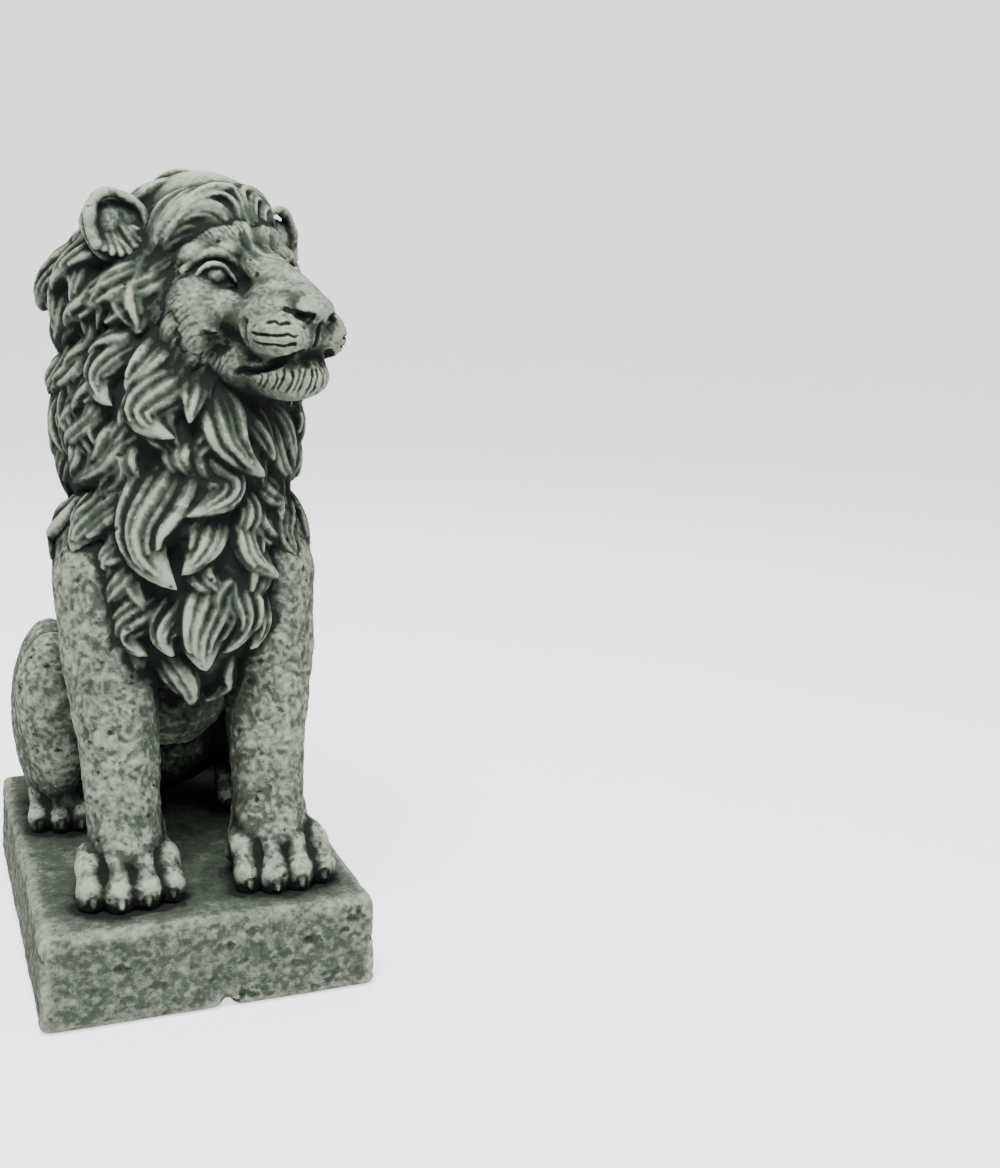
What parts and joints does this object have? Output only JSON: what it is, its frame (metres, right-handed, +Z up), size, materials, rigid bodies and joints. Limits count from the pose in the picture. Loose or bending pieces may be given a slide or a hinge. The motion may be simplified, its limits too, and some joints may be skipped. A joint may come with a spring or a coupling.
{
  "type": "stone lion statue",
  "caption": "Seated lion with a full mane, head turned to its left, cast in one piece with a low rectangular plinth.",
  "frame": {"origin": "middle of the plinth's underside", "axes": "+Z up, -Y the way the lion's body faces, +X the lion's left, the side its head turns to"},
  "size_m": [0.256, 0.372, 0.6187],
  "materials": {
    "weathered_stone": "weathered grey-green cast stone, pale on the ridges and dark in the hollows"
  },
  "bodies": {
    "root": {"stone_lion_statue": "weathered_stone"}
  },
  "joints": []
}
